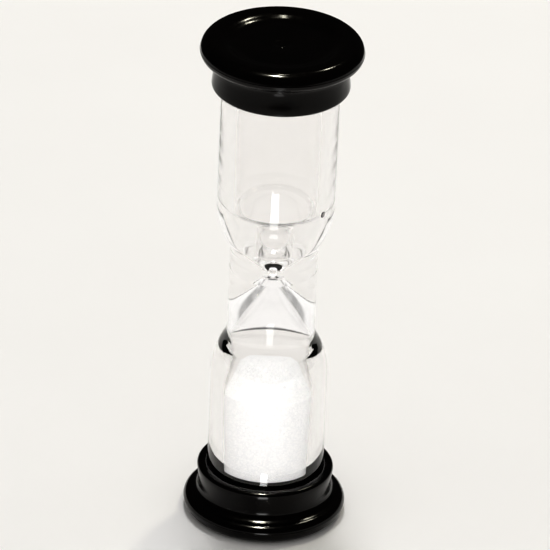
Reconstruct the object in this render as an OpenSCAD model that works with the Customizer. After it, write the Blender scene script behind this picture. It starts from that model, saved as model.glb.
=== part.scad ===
// Small plastic sand timer: a clear thick-walled body in two moulded halves, a bored metering bush
// in the neck between them, a push-on cap at each end, and fine sand in the lower chamber.
// Millimetres, +Z up. The origin is at the centre of the base, on the plane the timer stands on.

/* [Overall size] */
// Height from one end rim to the other
total_height = 82.5; // [80:0.5:86]
// Greatest width of the caps
cap_diameter = 25.4; // [24.8:0.1:27]

/* [Caps] */
// Depth of the dish in each end face
dish_depth = 0.8; // [0.4:0.05:1]
// Radius of the rounded bead round each cap, on the end-face side
bead_radius = 1.9; // [1.6:0.05:2.1]
// Outside diameter of the collar that grips the clear body
collar_diameter = 21.4; // [21:0.1:22]
// Depth of the cap from its end rim to the lip of the collar
cap_depth = 8.1; // [7.4:0.1:9]
// Height above the end rim of the plug that closes the chamber
plug_height = 8.3; // [6.5:0.1:9]

/* [Clear body] */
// Outside diameter of the chambers
chamber_diameter = 18.3; // [17.8:0.1:18.6]
// Diameter of the bore of the chambers
bore_diameter = 13; // [12:0.1:13.6]
// Outside diameter of the waist
waist_diameter = 13.7; // [12.8:0.1:14.4]
// Distance from the middle of the height up to the joint between the two halves
neck_offset = 1.8; // [1.5:0.1:2.2]
// Distance from the middle of the height to the wide end of each funnel
funnel_reach = 12.4; // [11.5:0.1:13.5]
// Radius of the upper funnel at its wide end, inside the ledge
mouth_radius = 5.4; // [5:0.1:5.8]
// Radius of each funnel where it reaches the metering bush
throat_radius = 1; // [0.8:0.05:1.2]

/* [Metering bush] */
// Diameter of the bore that meters the sand
orifice_diameter = 0.7; // [0.5:0.05:1]
// Length of the bush
bush_length = 1.4; // [1.2:0.1:2]
// Outside diameter of the bush
bush_diameter = 3; // [2.8:0.1:3.6]

/* [Sand] */
// Height of the sand surface above the base, at the chamber wall
sand_level = 22.3; // [18:0.1:24]
// Rise of the sand surface from the wall to the centre
sand_crown = 0.5; // [0.2:0.05:1.2]
// Gap left round the sand, so that it can slide
sand_clearance = 0.3; // [0.3:0.05:0.4]

/* [Hidden] */
$fn = 96;
mid = total_height / 2;
cap_r = cap_diameter / 2;
collar_r = collar_diameter / 2;
chamber_r = chamber_diameter / 2;
bore_r = bore_diameter / 2;
waist_r = waist_diameter / 2;

// Cap: underside bead, cove, web, socket for the chamber end, and plug
cove_bead_radius = 1.25;      // rounding of the bead on the collar side
land_width = 0.7;             // flat ring the timer stands on
dish_slope = 3.2;             // radial width of the slope into the dish
web = 2.4;                    // thickness between dish floor and socket floor
collar_root_r = collar_r - 0.3;
collar_root_z = 4.4;          // where the cove ends and the collar wall begins
lip_round_out = 0.55;
lip_round_in = 0.3;
socket_gap = 0.05;            // play between collar and chamber
plug_gap = 0.03;              // play between plug and bore
plug_bevel = 0.35;
socket_z = dish_depth + web;

// Clear body: the waist sits a little below the middle of the height
waist_shift = -1.8;
waist_half = 6.6;             // half length of the straight waist
shoulder_length = 8.2;
shoulder_hollow = 0.28;       // share of the shoulder that is concave
shoulder_steps = 14;
funnel_bow = 15;              // degrees by which each funnel steepens towards its wide end
funnel_steps = 10;
mouth_ledge = 0.9;            // height in which the ledge runs out from the upper funnel to the bore
throat_lip = 0.3;             // ledge that holds the bush at the foot of each funnel
chamber_end_bevel = 0.3;
joint_z = mid + neck_offset;
gate_r = 0.45;                // moulding gate mark on the upper chamber
gate_z = 55.3;
gate_turn = -37;
gate_stand = 0.12;
gate_root = 0.2;

sand_rest = 0.02;             // hairline under the sand, where it lies on the plug

// Metering bush: countersunk at both ends of its bore
bush_r = bush_diameter / 2;
orifice_r = orifice_diameter / 2;
bush_play = 0.02;
countersink = 0.3;

// Points on an arc, centre (x, z), from angle a to angle b, n steps
function arc(x, z, r, a, b, n = 8) =
    [for (i = [0:n]) let (t = a + (b - a) * i / n) [x + r * cos(t), z + r * sin(t)]];

// Share of the shoulder rise reached at the fraction t of its length
function rise(t) = t < shoulder_hollow
    ? t * t / shoulder_hollow
    : 1 - (1 - t) * (1 - t) / (1 - shoulder_hollow);

// Points on the arc from p to q that turns through the angle bow, bulging away from the axis
function bowed(p, q, bow, n) = let (
    chord = norm(q - p), heading = atan2(q[1] - p[1], q[0] - p[0]),
    turn = (q[1] > p[1] ? 1 : -1) * bow, r = chord / (2 * sin(bow / 2)))
    [for (i = [0:n]) let (
        a = heading - turn / 2 + turn * i / n, a0 = heading - turn / 2, side = turn > 0 ? 1 : -1)
        [p[0] + side * r * (sin(a) - sin(a0)), p[1] - side * r * (cos(a) - cos(a0))]];

// Cap profile, standing on its end rim
module cap_profile() {
    land_r = cap_r - bead_radius;
    land_in = land_r - land_width;
    slope_r = (dish_slope * dish_slope + dish_depth * dish_depth) / (4 * dish_depth);
    slope_a = asin(dish_slope / 2 / slope_r);
    floor_r = land_in - dish_slope;
    polygon(concat(
        [[0, dish_depth]],
        arc(floor_r, dish_depth - slope_r, slope_r, 90, 90 - slope_a, 6),
        arc(land_in, slope_r, slope_r, 270 - slope_a, 270, 6),
        arc(land_r, bead_radius, bead_radius, -90, 0, 10),
        arc(cap_r - cove_bead_radius, bead_radius, cove_bead_radius, 0, 84, 8),
        [[collar_root_r + 0.35, collar_root_z - 0.75], [collar_root_r + 0.08, collar_root_z - 0.35]],
        [[collar_root_r, collar_root_z]],
        [[collar_root_r + 0.06, collar_root_z + 1.2], [collar_r - 0.06, cap_depth - 1.2]],
        arc(collar_r - lip_round_out, cap_depth - lip_round_out, lip_round_out, 0, 90, 6),
        arc(chamber_r + socket_gap + lip_round_in, cap_depth - lip_round_in, lip_round_in, 90, 180, 4),
        [[chamber_r + socket_gap, socket_z], [bore_r - plug_gap, socket_z]],
        [[bore_r - plug_gap, plug_height - plug_bevel], [bore_r - plug_gap - plug_bevel, plug_height]],
        [[0, plug_height]]
    ));
}

module lower_cap() {
    color([0.03, 0.03, 0.03]) rotate_extrude() cap_profile();
}

module upper_cap() {
    color([0.03, 0.03, 0.03])
        translate([0, 0, total_height]) mirror([0, 0, 1]) rotate_extrude() cap_profile();
}

// One half of the clear body; side is 1 for the upper half and -1 for the lower half
module chamber_profile(side) {
    waist_mid = mid + waist_shift;
    end_z = mid + side * (mid - socket_z);
    wide_z = mid + side * funnel_reach;
    wide_r = side > 0 ? mouth_radius : bore_r;
    seat_z = joint_z + side * bush_length / 2;
    polygon(concat(
        [[throat_radius, seat_z]],
        bowed([throat_radius, seat_z + side * throat_lip], [wide_r, wide_z], funnel_bow, funnel_steps),
        side > 0 ? [[bore_r, wide_z + mouth_ledge]] : [],
        [[bore_r, end_z], [chamber_r - chamber_end_bevel, end_z]],
        [[chamber_r, end_z - side * chamber_end_bevel]],
        [for (i = [shoulder_steps:-1:0]) let (t = i / shoulder_steps)
            [waist_r + (chamber_r - waist_r) * rise(t),
             waist_mid + side * (waist_half + shoulder_length * t)]],
        [[waist_r, joint_z], [bush_r + bush_play, joint_z], [bush_r + bush_play, seat_z]]
    ));
}

module lower_chamber() {
    color([0.95, 0.95, 0.97, 0.35]) rotate_extrude() chamber_profile(-1);
}

module upper_chamber() {
    color([0.95, 0.95, 0.97, 0.35]) {
        rotate_extrude() chamber_profile(1);
        rotate([0, 0, gate_turn]) translate([chamber_r - gate_root, 0, gate_z]) rotate([0, 90, 0])
            cylinder(r = gate_r, h = gate_root + gate_stand, $fn = 32);
    }
}

module metering_bush() {
    half = bush_length / 2;
    color([0.85, 0.85, 0.88, 0.5]) rotate_extrude() translate([0, joint_z])
        polygon([
            [orifice_r, countersink - half], [orifice_r + countersink, -half], [bush_r, -half],
            [bush_r, half], [orifice_r + countersink, half], [orifice_r, half - countersink]
        ]);
}

// The sand as one loose column with a slightly crowned surface
module sand() {
    sand_r = bore_r - sand_clearance;
    crown_r = (sand_r * sand_r + sand_crown * sand_crown) / (2 * sand_crown);
    sand_floor = plug_height + sand_rest;
    color([0.93, 0.93, 0.92]) rotate_extrude()
        intersection() {
            translate([0, sand_floor]) square([sand_r, sand_level + sand_crown - sand_floor]);
            translate([0, sand_level + sand_crown - crown_r]) circle(r = crown_r, $fn = 720);
        }
}

lower_cap();
upper_cap();
lower_chamber();
upper_chamber();
metering_bush();
sand();
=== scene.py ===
import math
import random

import bmesh
import bpy
from mathutils import Matrix, Vector, noise


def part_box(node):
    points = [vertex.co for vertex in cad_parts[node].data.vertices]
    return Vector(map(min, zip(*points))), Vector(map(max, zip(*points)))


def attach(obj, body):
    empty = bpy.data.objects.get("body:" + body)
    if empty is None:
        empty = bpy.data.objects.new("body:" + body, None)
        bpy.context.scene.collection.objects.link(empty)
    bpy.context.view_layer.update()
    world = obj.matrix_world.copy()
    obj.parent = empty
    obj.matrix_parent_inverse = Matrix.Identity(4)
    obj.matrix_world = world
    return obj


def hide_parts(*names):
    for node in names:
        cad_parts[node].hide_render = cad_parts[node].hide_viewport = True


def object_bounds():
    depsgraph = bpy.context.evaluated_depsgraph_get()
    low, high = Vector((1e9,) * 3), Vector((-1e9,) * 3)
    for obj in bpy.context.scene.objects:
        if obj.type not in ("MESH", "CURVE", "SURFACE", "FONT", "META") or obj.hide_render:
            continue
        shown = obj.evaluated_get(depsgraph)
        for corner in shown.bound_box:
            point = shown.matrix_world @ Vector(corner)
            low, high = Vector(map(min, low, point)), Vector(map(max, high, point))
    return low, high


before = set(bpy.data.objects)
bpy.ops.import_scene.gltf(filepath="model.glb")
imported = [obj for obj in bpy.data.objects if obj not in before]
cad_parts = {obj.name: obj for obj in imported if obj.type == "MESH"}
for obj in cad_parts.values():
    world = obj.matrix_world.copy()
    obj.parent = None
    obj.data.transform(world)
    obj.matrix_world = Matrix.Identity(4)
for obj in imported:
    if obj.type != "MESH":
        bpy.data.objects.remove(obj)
cad_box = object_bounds()

MM = 0.001
SEG = 240


# ---------------------------------------------------------------- places, in millimetres
def mm_box(node):
    """The low and high corners of a CAD node's box, in millimetres."""
    lo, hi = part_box(node)
    return [v / MM for v in lo], [v / MM for v in hi]


_, cap_hi = mm_box("lower_cap")
low_lo, low_hi = mm_box("lower_chamber")
bush_lo, bush_hi = mm_box("metering_bush")
sand_lo, sand_hi = mm_box("sand")
HEIGHT = (cad_box[1][2] - cad_box[0][2]) / MM
MID = HEIGHT / 2
CAP_R = cap_hi[0]
PLUG_Z = cap_hi[2]
CHAMBER_R = low_hi[0]
SOCKET_Z = low_lo[2]
JOINT_Z = (bush_lo[2] + bush_hi[2]) / 2
BUSH_HALF = (bush_hi[2] - bush_lo[2]) / 2
BORE_R = 6.5
WAIST_R = 6.85
WAIST_MID, WAIST_HALF, SHOULDER = MID - 1.8, 6.6, 8.2
FUNNEL_REACH = 12.4
THROAT_R = 1.0
MOUTH_R = 5.4
FUNNEL_BOW = 15
THROAT_LIP, END_BEVEL, COUNTERSINK = 0.3, 0.3, 0.3
BUSH_BORE = 0.35


# ---------------------------------------------------------------- materials
def new_material(name):
    m = bpy.data.materials.new(name)
    m.use_nodes = True
    nt = m.node_tree
    return m, nt, nt.nodes["Principled BSDF"]


def object_coords(nt, scale=(1, 1, 1)):
    tc = nt.nodes.new("ShaderNodeTexCoord")
    mp = nt.nodes.new("ShaderNodeMapping")
    mp.inputs["Scale"].default_value = scale
    nt.links.new(tc.outputs["Object"], mp.inputs["Vector"])
    return mp.outputs["Vector"]


def noise_node(nt, vec, scale, detail=4.0, rough=0.55):
    n = nt.nodes.new("ShaderNodeTexNoise")
    n.inputs["Scale"].default_value = scale
    n.inputs["Detail"].default_value = detail
    n.inputs["Roughness"].default_value = rough
    nt.links.new(vec, n.inputs["Vector"])
    return n.outputs["Fac"]


def remap(nt, fac, lo, hi, a=0.0, b=1.0):
    r = nt.nodes.new("ShaderNodeMapRange")
    r.inputs["From Min"].default_value = a
    r.inputs["From Max"].default_value = b
    r.inputs["To Min"].default_value = lo
    r.inputs["To Max"].default_value = hi
    nt.links.new(fac, r.inputs["Value"])
    return r.outputs["Result"]


def bump(nt, bsdf, height, strength, distance, under=None):
    b = nt.nodes.new("ShaderNodeBump")
    b.inputs["Strength"].default_value = strength
    b.inputs["Distance"].default_value = distance
    nt.links.new(height, b.inputs["Height"])
    if under is not None:
        nt.links.new(under, b.inputs["Normal"])
    nt.links.new(b.outputs["Normal"], bsdf.inputs["Normal"])
    return b.outputs["Normal"]


def colour_mix(nt, fac, a, b):
    r = nt.nodes.new("ShaderNodeValToRGB")
    r.color_ramp.elements[0].position = 0.3
    r.color_ramp.elements[0].color = (*a, 1)
    r.color_ramp.elements[1].position = 0.7
    r.color_ramp.elements[1].color = (*b, 1)
    nt.links.new(fac, r.inputs["Fac"])
    return r.outputs["Color"]


def cap_material():
    m, nt, b = new_material("cap_gloss_black")
    vec = object_coords(nt)
    cloud = noise_node(nt, vec, 260, 3)
    black = colour_mix(nt, cloud, (0.0028, 0.0022, 0.002), (0.005, 0.0034, 0.003))
    nt.links.new(black, b.inputs["Base Color"])
    scuff = noise_node(nt, vec, 1500, 6, 0.7)
    nt.links.new(remap(nt, scuff, 0.11, 0.2, 0.35, 0.75), b.inputs["Roughness"])
    b.inputs["Specular IOR Level"].default_value = 0.27
    b.inputs["IOR"].default_value = 1.5
    wave = noise_node(nt, vec, 190, 1, 0.4)
    grain = noise_node(nt, vec, 5200, 2, 0.5)
    n1 = bump(nt, b, wave, 0.22, 0.0006)
    bump(nt, b, grain, 0.04, 0.00006, n1)
    return m


def clear_material(name="clear_moulded_plastic", tint=(0.972, 0.966, 0.965), rough=(0.0, 0.022)):
    m, nt, b = new_material(name)
    b.inputs["Base Color"].default_value = (*tint, 1)
    b.inputs["Transmission Weight"].default_value = 1.0
    b.inputs["IOR"].default_value = 1.575
    vec = object_coords(nt)
    haze = noise_node(nt, vec, 420, 4, 0.6)
    nt.links.new(remap(nt, haze, rough[0], rough[1], 0.4, 0.75), b.inputs["Roughness"])
    flow = noise_node(nt, object_coords(nt, (1, 1, 0.22)), 330, 2, 0.45)
    bump(nt, b, flow, 0.08, 0.0002)
    return m


def sand_material():
    m, nt, b = new_material("fine_white_sand")
    vec = object_coords(nt)
    vor = nt.nodes.new("ShaderNodeTexVoronoi")
    vor.inputs["Scale"].default_value = 4300
    nt.links.new(vec, vor.inputs["Vector"])
    grey = nt.nodes.new("ShaderNodeRGBToBW")
    nt.links.new(vor.outputs["Color"], grey.inputs["Color"])
    white = colour_mix(nt, grey.outputs["Val"], (0.9, 0.91, 0.93), (0.97, 0.975, 0.985))
    nt.links.new(white, b.inputs["Base Color"])
    b.inputs["Roughness"].default_value = 0.82
    n1 = bump(nt, b, vor.outputs["Distance"], 0.5, 0.00012)
    bump(nt, b, noise_node(nt, vec, 2600, 3), 0.3, 0.0001, n1)
    return m


def paper_material():
    m, nt, b = new_material("pale_paper")
    vec = object_coords(nt)
    nt.links.new(colour_mix(nt, noise_node(nt, vec, 14, 3), (0.85, 0.84, 0.834), (0.872, 0.864, 0.858)),
                 b.inputs["Base Color"])
    b.inputs["Roughness"].default_value = 0.9
    b.inputs["Specular IOR Level"].default_value = 0.15
    bump(nt, b, noise_node(nt, vec, 1400, 5), 0.12, 0.0001)
    return m


CAP = cap_material()
CLEAR = clear_material()
BUSH = clear_material("bush_clear_plastic", (0.93, 0.92, 0.91), (0.02, 0.12))
FROST = clear_material("gate_frosted", (0.55, 0.54, 0.54), (0.35, 0.6))
SAND = sand_material()
PAPER = paper_material()


# ---------------------------------------------------------------- mesh helpers
def arc(x, z, r, a, b, n=12):
    return [(x + r * math.cos(math.radians(a + (b - a) * i / n)),
             z + r * math.sin(math.radians(a + (b - a) * i / n))) for i in range(n + 1)]


def link(name, bm, material, sharp=28.0, outward=1):
    """Makes an object of bm. With outward 1 the widest face points out, as an open shell of glass needs."""
    bmesh.ops.remove_doubles(bm, verts=bm.verts, dist=1e-8)
    bmesh.ops.recalc_face_normals(bm, faces=bm.faces)
    rim = max(bm.faces, key=lambda f: math.hypot(*f.calc_center_median()[:2]))
    centre = rim.calc_center_median()
    if outward * (rim.normal.x * centre.x + rim.normal.y * centre.y) < 0:
        bmesh.ops.reverse_faces(bm, faces=bm.faces)
    for f in bm.faces:
        f.smooth = True
    for e in bm.edges:
        if len(e.link_faces) == 2 and e.calc_face_angle(0) > math.radians(sharp):
            e.smooth = False
    me = bpy.data.meshes.new(name)
    bm.to_mesh(me)
    bm.free()
    me.materials.append(material)
    ob = bpy.data.objects.new(name, me)
    bpy.context.scene.collection.objects.link(ob)
    return ob


def lathe_bm(points, seg=SEG, wobble=None):
    """Revolves (r, z) points in millimetres about +Z; points on the axis collapse to one vertex."""
    bm = bmesh.new()
    rings = []
    for r, z in points:
        if r < 1e-6:
            rings.append([bm.verts.new((0, 0, z * MM))])
            continue
        ring = []
        for s in range(seg):
            a = 2 * math.pi * s / seg
            rr, zz = (r, z) if wobble is None else wobble(r, z, a)
            ring.append(bm.verts.new((rr * MM * math.cos(a), rr * MM * math.sin(a), zz * MM)))
        rings.append(ring)
    for a, b in zip(rings, rings[1:]):
        if len(a) == 1 and len(b) == 1:
            continue
        for s in range(seg):
            t = (s + 1) % seg
            if len(a) == 1:
                bm.faces.new((a[0], b[s], b[t]))
            elif len(b) == 1:
                bm.faces.new((a[s], a[t], b[0]))
            else:
                bm.faces.new((a[s], a[t], b[t], b[s]))
    return bm


def flip(points):
    return [(r, HEIGHT - z) for r, z in points]


# ---------------------------------------------------------------- caps
def cap_points():
    """The cap's profile, standing on its end rim, from the centre of the dish round to the plug."""
    bead, cove = 1.9, 1.25
    dish, slope = 0.8, 3.2
    land_r = CAP_R - bead
    land_in = land_r - 0.7
    sr = (slope * slope + dish * dish) / (4 * dish)
    sa = math.degrees(math.asin(slope / 2 / sr))
    floor_r = land_in - slope
    root_r, root_z = 10.4, 4.4
    lip_r, depth = 10.7, 8.1
    # the small raised gate ring at the centre of the dish, then the dish, land, bead, cove and collar
    pts = [(0, dish + 0.07), (0.35, dish + 0.07), (0.5, dish + 0.03), (0.55, dish + 0.09),
           (1.25, dish + 0.09), (1.38, dish + 0.02), (1.6, dish), (3.2, dish - 0.01), (floor_r - 0.4, dish)]
    pts += arc(floor_r, dish - sr, sr, 90, 90 - sa, 10)
    pts += arc(land_in, sr, sr, 270 - sa, 270, 10)[1:]
    bead_arc = arc(land_r - 0.03, bead, bead, -90, 0, 26)
    pts += bead_arc[:-1]
    # the fine parting line round the widest part
    pts += [(CAP_R - 0.025, bead - 0.07), (CAP_R, bead - 0.03),
            (CAP_R, bead + 0.03), (CAP_R - 0.025, bead + 0.07)]
    pts += arc(CAP_R - 0.03 - cove, bead, cove, 6, 84, 14)
    pts += [(root_r + 0.42, root_z - 0.92), (root_r + 0.2, root_z - 0.6), (root_r + 0.07, root_z - 0.3),
            (root_r + 0.01, root_z), (root_r + 0.03, root_z + 0.6), (root_r + 0.07, root_z + 1.2),
            (lip_r - 0.12, depth - 1.6), (lip_r - 0.05, depth - 1.1)]
    pts += arc(lip_r - 0.55, depth - 0.55, 0.55, 0, 90, 10)
    pts += arc(CHAMBER_R + 0.35, depth - 0.3, 0.3, 90, 180, 6)
    pts += [(CHAMBER_R + 0.05, SOCKET_Z + 0.02), (BORE_R - 0.03, SOCKET_Z + 0.02),
            (BORE_R - 0.03, PLUG_Z - 0.35)]
    pts += arc(BORE_R - 0.38, PLUG_Z - 0.35, 0.35, 0, 90, 6)
    pts += [(0, PLUG_Z)]
    return pts


def cap_wobble(r, z, a):
    k = 0.006 * math.sin(3 * a + 0.4 * z) + 0.004 * math.sin(7 * a + 1.1)
    return (r - abs(k) if r > 3 else r), z


for nm, pts, node in (("lower_cap_moulding", cap_points(), "lower_cap"),
                      ("upper_cap_moulding", flip(cap_points()), "upper_cap")):
    ob = link(nm, lathe_bm(pts, 288, cap_wobble), CAP, 40)
    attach(ob, "timer")
    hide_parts(node)


# ---------------------------------------------------------------- clear body
def rise(t, hollow=0.28):
    """Share of the shoulder rise reached at the fraction t of its length."""
    return t * t / hollow if t < hollow else 1 - (1 - t) ** 2 / (1 - hollow)


def bowed(p, q, bow, n):
    """The arc from p to q that turns through bow degrees, bulging away from the axis."""
    chord = math.hypot(q[0] - p[0], q[1] - p[1])
    heading = math.degrees(math.atan2(q[1] - p[1], q[0] - p[0]))
    side = 1 if q[1] > p[1] else -1
    r = chord / (2 * math.sin(math.radians(bow / 2)))
    a0 = heading - side * bow / 2
    out = []
    for i in range(n + 1):
        a = math.radians(a0 + side * bow * i / n)
        out.append((p[0] + side * r * (math.sin(a) - math.sin(math.radians(a0))),
                    p[1] - side * r * (math.cos(a) - math.cos(math.radians(a0)))))
    return out


def chamber_points(side):
    """Half of the clear body, from the joint up the outside and back down the bore; side is 1 or -1."""
    end = MID + side * (MID - SOCKET_Z)
    wide = MID + side * FUNNEL_REACH
    seat = JOINT_Z + side * BUSH_HALF
    pts = [(WAIST_R + 0.03, JOINT_Z), (WAIST_R + 0.03, JOINT_Z + side * 0.05),
           (WAIST_R, JOINT_Z + side * 0.14)]
    n = 40
    for i in range(n + 1):
        t = i / n
        pts.append((WAIST_R + (CHAMBER_R - WAIST_R) * rise(t),
                    WAIST_MID + side * (WAIST_HALF + SHOULDER * t)))
    pts += [(CHAMBER_R, end - side * 12), (CHAMBER_R, end - side * END_BEVEL),
            (CHAMBER_R - END_BEVEL, end), (BORE_R, end), (BORE_R, end - side * 6)]
    foot = (THROAT_R, seat + side * THROAT_LIP)
    fun = bowed(foot, (MOUTH_R if side > 0 else BORE_R, wide), FUNNEL_BOW, 28)
    if side > 0:
        fun += [(MOUTH_R + 0.05, wide + 0.12), (MOUTH_R + 0.17, wide + 0.22), (MOUTH_R + 0.6, wide + 0.42)]
        fun += arc(BORE_R - 0.4, wide + 0.95, 0.4, -65, 0, 6)
    pts += list(reversed(fun))
    pts += [(THROAT_R, seat)]
    return pts


for nm, side, node in (("lower_clear_half", -1, "lower_chamber"), ("upper_clear_half", 1, "upper_chamber")):
    ob = link(nm, lathe_bm(chamber_points(side), SEG), CLEAR, 22)
    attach(ob, "timer")
    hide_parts(node)

top, foot = JOINT_Z + BUSH_HALF, JOINT_Z - BUSH_HALF
bore = [(THROAT_R, top), (BUSH_BORE + COUNTERSINK, top), (BUSH_BORE, top - COUNTERSINK), (BUSH_BORE, JOINT_Z),
        (BUSH_BORE, foot + COUNTERSINK), (BUSH_BORE + COUNTERSINK, foot), (THROAT_R, foot)]
ob = link("metering_bush_bore", lathe_bm(bore, SEG), BUSH, 22, 0)
wall = min(ob.data.polygons, key=lambda f: math.hypot(f.center.x, f.center.y))
if wall.normal.x * wall.center.x + wall.normal.y * wall.center.y > 0:
    ob.data.flip_normals()
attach(ob, "timer")
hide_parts("metering_bush")

# moulding gate mark on the upper half
GATE_Z, GATE_TURN = 55.3, -37
bm = lathe_bm([(0, 0.1), (0.2, 0.115), (0.34, 0.09), (0.46, 0.02), (0.5, -0.06), (0, -0.1)], 28)
turn = Matrix.Rotation(math.radians(GATE_TURN), 4, "Z")
spot = Matrix.Translation(turn @ Vector((CHAMBER_R * MM, 0, GATE_Z * MM)))
place = spot @ turn @ Matrix.Rotation(math.pi / 2, 4, "Y")
ob = link("gate_mark", bm, FROST, 40)
ob.data.transform(place)
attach(ob, "timer")


# ---------------------------------------------------------------- sand
random.seed(11)
SAND_PLAY, SAND_CROWN = 0.035, 0.5
SAND_R = BORE_R - SAND_PLAY
RIM_Z = sand_hi[2] - SAND_CROWN
FLOOR_Z = sand_lo[2] + 0.02


def grain_noise(p, amp):
    a = noise.noise(p * 3.1) * 0.6 + noise.noise(p * 6.7 + Vector((7, 3, 1))) * 0.4
    return a * amp


def drift(x, y):
    """Slow unevenness of the sand surface."""
    return 0.1 * noise.noise(Vector((x * 0.35, y * 0.35, 4.0)))


def sand_surface(r):
    return RIM_Z + 0.36 * (1 - (r / SAND_R) ** 2)


def sand_column():
    seg = 264
    profile = [(0, FLOOR_Z)] + [(SAND_R * k / 6, FLOOR_Z) for k in range(1, 6)]
    profile += arc(SAND_R - 0.25, FLOOR_Z + 0.25, 0.25, -90, 0, 3)
    n = 84
    profile += [(SAND_R, FLOOR_Z + 0.25 + (RIM_Z - 0.2 - FLOOR_Z - 0.25) * k / n) for k in range(1, n + 1)]
    m = 40
    profile += [(SAND_R * (1 - k / m) if k else SAND_R - 0.04, sand_surface(SAND_R * (1 - k / m)))
                for k in range(m)]
    profile += [(0, sand_surface(0))]
    bm = lathe_bm(profile, seg)
    top = RIM_Z - 0.3
    for v in bm.verts:
        p = v.co / MM
        r = math.hypot(p.x, p.y)
        if p.z > top and r < SAND_R - 0.01:
            z = p.z + drift(p.x, p.y) + grain_noise(p, 0.09)
            v.co.z = min(z, sand_hi[2]) * MM
        elif r > SAND_R - 0.3 and p.z > FLOOR_Z + 0.1:
            k = 1 - abs(grain_noise(p * 1.3, 0.075)) / SAND_R
            v.co.x *= k
            v.co.y *= k
    return link("sand_column", bm, SAND, 180)


def sand_grains(count):
    bm = bmesh.new()
    base = bmesh.new()
    bmesh.ops.create_icosphere(base, subdivisions=1, radius=1.0)
    verts = [v.co.copy() for v in base.verts]
    faces = [[v.index for v in f.verts] for f in base.faces]
    base.free()
    for _ in range(count):
        r = (SAND_R - 0.16) * math.sqrt(random.random())
        a = random.uniform(0, 2 * math.pi)
        s = random.uniform(0.055, 0.115)
        x, y = r * math.cos(a), r * math.sin(a)
        z = sand_surface(r) + drift(x, y) + random.uniform(-0.4, 0.3) * s
        z = min(z, sand_hi[2] - s)
        spin = random.uniform(0, 6.28)
        rot = Matrix.Rotation(spin, 3, Vector((random.random(), random.random(), 0.3)).normalized())
        sc = Vector((s * random.uniform(0.8, 1.2), s * random.uniform(0.7, 1.1), s * random.uniform(0.6, 1.0)))
        new = []
        for c in verts:
            q = rot @ Vector((c.x * sc.x, c.y * sc.y, c.z * sc.z))
            new.append(bm.verts.new(((x + q.x) * MM, (y + q.y) * MM, (z + q.z) * MM)))
        for f in faces:
            bm.faces.new([new[i] for i in f])
    return link("sand_grains", bm, SAND, 60)


column = sand_column()
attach(column, "sand")
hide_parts("sand")
loose = sand_grains(1800)
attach(loose, "sand")


# ---------------------------------------------------------------- floor, lights and camera
S, PAPER_FRONT, PAPER_BACK = 0.55, 0.34, 0.24
bm = bmesh.new()
bmesh.ops.create_grid(bm, x_segments=24, y_segments=24, size=S)
for v in bm.verts:
    v.co.y = v.co.y * PAPER_FRONT / S if v.co.y < 0 else v.co.y * PAPER_BACK / S
me = bpy.data.meshes.new("paper_floor")
bm.to_mesh(me)
bm.free()
me.materials.append(PAPER)
floor = bpy.data.objects.new("paper_floor", me)
bpy.context.scene.collection.objects.link(floor)
floor.location = (0, 0, cad_box[0][2] - 0.00002)

world = bpy.data.worlds.new("studio")
bpy.context.scene.world = world
world.use_nodes = True
wn = world.node_tree
back = wn.nodes["Background"]
back.inputs["Color"].default_value = (1.0, 0.99, 0.97, 1)
path = wn.nodes.new("ShaderNodeLightPath")
compass = wn.nodes.new("ShaderNodeTexCoord")
height = wn.nodes.new("ShaderNodeSeparateXYZ")
wn.links.new(compass.outputs["Generated"], height.inputs["Vector"])


def ramp(lo, hi, a, b, axis="Z"):
    r = wn.nodes.new("ShaderNodeMapRange")
    r.interpolation_type = "SMOOTHSTEP"
    r.inputs["From Min"].default_value, r.inputs["From Max"].default_value = lo, hi
    r.inputs["To Min"].default_value, r.inputs["To Max"].default_value = a, b
    wn.links.new(height.outputs[axis], r.inputs["Value"])
    return r.outputs["Result"]


def mix(factor, a, b):
    """a where factor is 0, b where it is 1; each may be a number or a socket."""
    m = wn.nodes.new("ShaderNodeMix")
    m.clamp_factor = True
    for socket, v in (("Factor", factor), ("A", a), ("B", b)):
        if isinstance(v, (int, float)):
            m.inputs[socket].default_value = v
        else:
            wn.links.new(v, m.inputs[socket])
    return m.outputs["Result"]


# rays through the clear body see a light wall low down behind and a darker room above it, the camera sees
# a pale backdrop, reflections see a dark room, and the diffuse light is strongest from the front
wall = wn.nodes.new("ShaderNodeMath")
wall.operation = "MULTIPLY"
wn.links.new(ramp(-0.08, -0.01, 0.1, 1.0), wall.inputs[0])
wn.links.new(ramp(0.42, 0.54, 0.8, 0.4), wall.inputs[1])
backdrop = mix(path.outputs["Is Camera Ray"], 0.03, 0.66)
seen = mix(path.outputs["Is Transmission Ray"], backdrop, wall.outputs["Value"])
lit = mix(path.outputs["Is Transmission Ray"], 0.42, ramp(-0.9, 0.1, 2.5, 1.12, "Y"))
wn.links.new(mix(path.outputs["Diffuse Depth"], seen, lit), back.inputs["Strength"])


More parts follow.
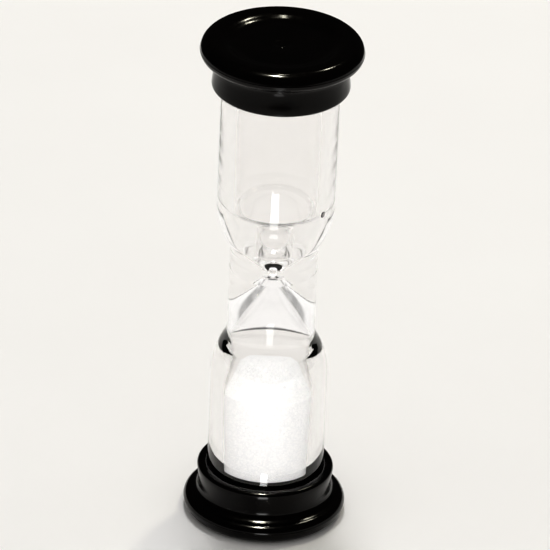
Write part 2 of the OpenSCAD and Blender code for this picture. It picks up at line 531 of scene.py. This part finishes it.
def area(name, direction, distance, sx, sy, power, colour=(1, 1, 1), glossy=True, target=(0, 0, 0.04)):
    light = bpy.data.lights.new(name, "AREA")
    light.shape = "RECTANGLE"
    light.size, light.size_y = sx, sy
    light.energy = power
    light.color = colour
    o = bpy.data.objects.new(name, light)
    bpy.context.scene.collection.objects.link(o)
    d = Vector(direction).normalized()
    o.location = Vector(target) + d * distance
    o.rotation_euler = d.to_track_quat("Z", "Y").to_euler()
    o.visible_glossy = glossy
    return o


area("ceiling_left", (-0.033, 0.225, 0.973), 1.25, 0.13, 0.3, 4.6, glossy=False)
glint = area("ceiling_glint", (0.01, 0.225, 0.973), 1.25, 0.045, 0.12, 1.1, (1.0, 0.97, 0.82))
area("ceiling_right", (0.317, 0.457, 0.83), 1.2, 0.09, 0.12, 2.0, (1.0, 0.96, 0.8))
near = area("ceiling_near", (-0.06, -0.12, 0.99), 1.2, 0.14, 0.09, 16.0, (1.0, 0.97, 0.82))
upper = area("upper_streak", (0, 0, -1), 0.0004, 0.03, 0.017, 0.0064, target=(-0.003, -0.1125, 0.0008))
lower = area("lower_streak", (0, 0, -1), 0.0004, 0.02, 0.02, 0.0036, target=(-0.002, -0.069, 0.0008))
collar = area("collar_streak", (0, 0, -1), 0.0004, 0.005, 0.008, 0.0009, target=(-0.0005, -0.0235, 0.0008))
# these five show only in reflections: highlights on the caps, and upright streaks on the body and the collar
for lamp in (glint, near, upper, lower, collar):
    lamp.visible_diffuse = False
    lamp.visible_transmission = False

ELEVATION, LEAN, DISTANCE = 28.5, 2.41, 1.275
centre = Vector((0, 0, MID * MM))
e = math.radians(ELEVATION)
away = Vector((0, -math.cos(e), math.sin(e)))
camera = bpy.data.cameras.new("camera")
camera.sensor_width = 36
camera.lens = 536.9
camera.clip_start, camera.clip_end = 0.01, 20
camera.shift_x, camera.shift_y = 0.0036, 0.0015
cam = bpy.data.objects.new("camera", camera)
bpy.context.scene.collection.objects.link(cam)
turn = (-away).to_track_quat("-Z", "Y").to_matrix().to_4x4() @ Matrix.Rotation(math.radians(LEAN), 4, "Z")
cam.matrix_world = Matrix.Translation(centre + away * DISTANCE) @ turn
bpy.context.scene.camera = cam

scene = bpy.context.scene
scene.cycles.max_bounces = 32
scene.cycles.transmission_bounces = 24
scene.cycles.glossy_bounces = 12
scene.cycles.transparent_max_bounces = 16
scene.view_settings.view_transform = "Standard"
scene.view_settings.look = "High Contrast"
scene.view_settings.exposure = -0.11
